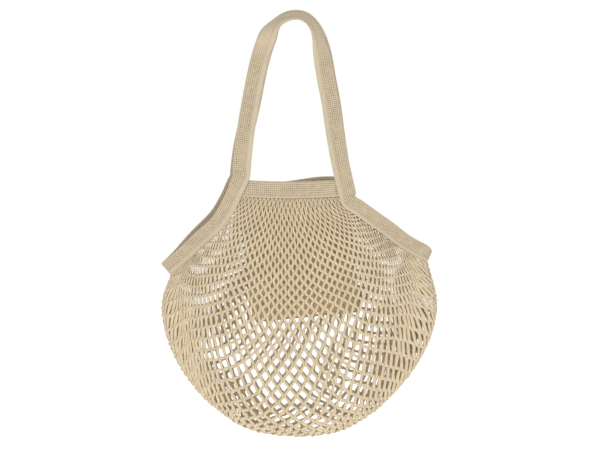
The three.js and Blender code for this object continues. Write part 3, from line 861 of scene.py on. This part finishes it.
# The pocket: one strip of close-knit cotton cloth, folded up on itself and sewn at its two sides. It
# hangs behind the front net from the rim band and leans a little.
POCKET_WIDTH = 0.158
POCKET_HEIGHT = 0.188
POCKET_DROP = 0.247
POCKET_LEAN = math.radians(5.5)
POCKET_GAPE = 0.014
POCKET_WALL = 0.0012
POCKET_RIPPLE = 0.0006
REAR_RIPPLE, FRONT_RIPPLE = 1, 0.6
RIPPLE_SEED = 21
RIPPLE_WAVES = 6
POCKET_LEVELS = [
    (0.0, 1.0, 0.0), (0.2, 0.9, 0.0), (0.4, 0.72, 0.0), (0.6, 0.5, 0.0), (0.8, 0.24, 0.0),
    (0.95, 0.05, 0.006), (1.0, 0.0, 0.035),
]


def pocket_cloth():
    bm = bmesh.new()
    bmesh.ops.create_grid(bm, x_segments=40, y_segments=96, size=0.5)
    mesh = bpy.data.meshes.new("pocket_cloth")
    bm.to_mesh(mesh)
    bm.free()
    place = mesh_points(mesh)
    across, strip = 2 * place[:, 0], 2 * place[:, 1]
    rear = strip > 0
    level = 1 - np.abs(strip)
    down, gapes, insets = zip(*POCKET_LEVELS)
    gape = POCKET_GAPE * np.interp(level, down, gapes) * (1 - across**2)
    x = across * POCKET_WIDTH * (0.5 - np.interp(level, down, insets))
    drop = level * (POCKET_HEIGHT - POCKET_WALL)
    face = -(RIM_HALF_DEPTH - NET_WALL / 2 - 2 * SEAM_GAP) + POCKET_WALL / 2
    away = (POCKET_WALL + SEAM_GAP + gape) * ease(strip, -0.012, 0.012)
    ripple = waves(across / 3, level * 2, RIPPLE_SEED, RIPPLE_WAVES) * POCKET_RIPPLE
    ripple = ripple * ease(1 - np.abs(across), 0, 0.3)
    depth = face + away + ripple * np.where(rear, REAR_RIPPLE, FRONT_RIPPLE)
    cosine, sine = math.cos(POCKET_LEAN), math.sin(POCKET_LEAN)
    spots = np.stack(
        [x * cosine + drop * sine, depth, -POCKET_DROP + x * sine - drop * cosine], 1
    )
    mark = mesh.attributes.new("cloth", "FLOAT_VECTOR", "POINT")
    flat = np.stack([place[:, 0] * POCKET_WIDTH, place[:, 1] * 2 * POCKET_HEIGHT, 0 * across], 1)
    mark.data.foreach_set("vector", flat.ravel())
    cloth = finished_piece("pocket_cloth", mesh, spots)
    wall = cloth.modifiers.new("wall", "SOLIDIFY")
    wall.thickness = POCKET_WALL * 0.9
    wall.offset = 0
    return cloth


CLOTH_COLOUR = (0.74, 0.58, 0.35)
VALLEY_SHADE_COLOUR = (0.44, 0.31, 0.17)
RIDGE_PITCH = 0.0052
RIDGE_SLOPE = 0.62


def cloth_material():
    """Close knit with slanting ridges, which lean one way and then the other from patch to patch, and
    painted shade in the valleys between them.
    """
    material, nodes, links, fibre, shader = cotton_material("close_knit", CLOTH_COLOUR, 0.06)
    cloth, cloth_parts = mark_nodes(nodes, links, "cloth")
    bend = noise_node(nodes, links, cloth, 55)
    ridges = []
    for slope in (RIDGE_SLOPE, -RIDGE_SLOPE):
        lean = math_node(nodes, links, "MULTIPLY_ADD", cloth_parts["Y"], slope, cloth_parts["X"])
        lean = math_node(nodes, links, "MULTIPLY_ADD", bend, RIDGE_PITCH * 0.9, lean)
        lean = math_node(nodes, links, "MULTIPLY", lean, 2 * math.pi / RIDGE_PITCH)
        lean = math_node(nodes, links, "SINE", lean)
        ridges.append(math_node(nodes, links, "MULTIPLY_ADD", lean, 0.5, 0.5))
    ridge = math_node(nodes, links, "MAXIMUM", ridges[0], ridges[1])
    # Painted shade: the valleys between the ridges are darkened.
    valley_shade = range_node(nodes, links, ridge, (0.35, 0.9), (0.75, 0.0), smooth=True)
    darken(nodes, links, fibre, shader, valley_shade, VALLEY_SHADE_COLOUR)
    height = math_node(nodes, links, "MULTIPLY_ADD", fibre.outputs["Fuzz"], 0.4, ridge)
    roughen(nodes, links, shader, height, 0.0007, 0.8)
    return material


pocket = pocket_cloth()
pocket.data.materials.append(cloth_material())
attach(pocket, "root")
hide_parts("inner_pocket")


# The studio: a wide pale floor under a pale even sky, wide soft lights, and a level camera a long way
# off, aimed at the middle of the picture. Nothing stands behind, so the bag shows from every side.
FLOOR_DROP = 0.68
FLOOR_HALF_WIDTH = 14
PICTURE_MIDDLE = (0.0088, -0.2993)
PICTURE_WIDTH = 0.876
CAMERA_AWAY = 6.0
SKY_LIGHT = 0.44
SKY_SEEN = 1.0
LIGHTS_AIM = np.array([0, 0, -0.32])
FILM_WIDTH = 36
PAPER_GREY = (0.93, 0.93, 0.93, 1)
PAPER_GLOW = 0.7

bm = bmesh.new()
bmesh.ops.create_grid(bm, x_segments=1, y_segments=1, size=FLOOR_HALF_WIDTH)
bmesh.ops.translate(bm, verts=bm.verts[:], vec=(0, 0, -FLOOR_DROP))
mesh = bpy.data.meshes.new("studio_floor")
bm.to_mesh(mesh)
bm.free()
floor = into_scene("studio_floor", mesh)
paper = bpy.data.materials.new("pale_paper")
paper.use_nodes = True
paper_shader = paper.node_tree.nodes["Principled BSDF"]
paper_shader.inputs["Base Color"].default_value = PAPER_GREY
paper_shader.inputs["Roughness"].default_value = 0.9
paper_shader.inputs["Emission Color"].default_value = (1, 1, 1, 1)
paper_shader.inputs["Emission Strength"].default_value = PAPER_GLOW
floor.data.materials.append(paper)

for name, spot, size, power in (
    ("key_light", (-1.3, -2.6, 1.2), 2.2, 38),
    ("fill_light", (1.7, -2.6, 0.3), 2.4, 26),
    ("rear_light", (0.0, 1.3, 1.8), 2.0, 8),
):
    lamp = bpy.data.lights.new(name, "AREA")
    lamp.size = size
    lamp.energy = power
    light = into_scene(name, lamp)
    light.location = spot
    aim = LIGHTS_AIM - np.array(spot)
    light.rotation_euler = (
        math.atan2(math.hypot(aim[0], aim[1]), -aim[2]), 0, math.atan2(-aim[0], aim[1])
    )

world = bpy.data.worlds.new("studio_air")
bpy.context.scene.world = world
world.use_nodes = True
air, air_links = world.node_tree.nodes, world.node_tree.links
sky = air["Background"]
sky.inputs["Color"].default_value = (1, 1, 1, 1)
looked_at = air.new("ShaderNodeLightPath").outputs["Is Camera Ray"]
strength = range_node(air, air_links, looked_at, (0, 1), (SKY_LIGHT, SKY_SEEN))
air_links.new(strength, sky.inputs["Strength"])

lens = bpy.data.cameras.new("camera")
lens.sensor_width = FILM_WIDTH
lens.lens = FILM_WIDTH * CAMERA_AWAY / PICTURE_WIDTH
lens.clip_end = 50
camera = into_scene("camera", lens)
camera.location = (PICTURE_MIDDLE[0], -CAMERA_AWAY, PICTURE_MIDDLE[1])
camera.rotation_euler = (math.pi / 2, 0, 0)
bpy.context.scene.camera = camera
bpy.context.scene.view_settings.view_transform = "Standard"
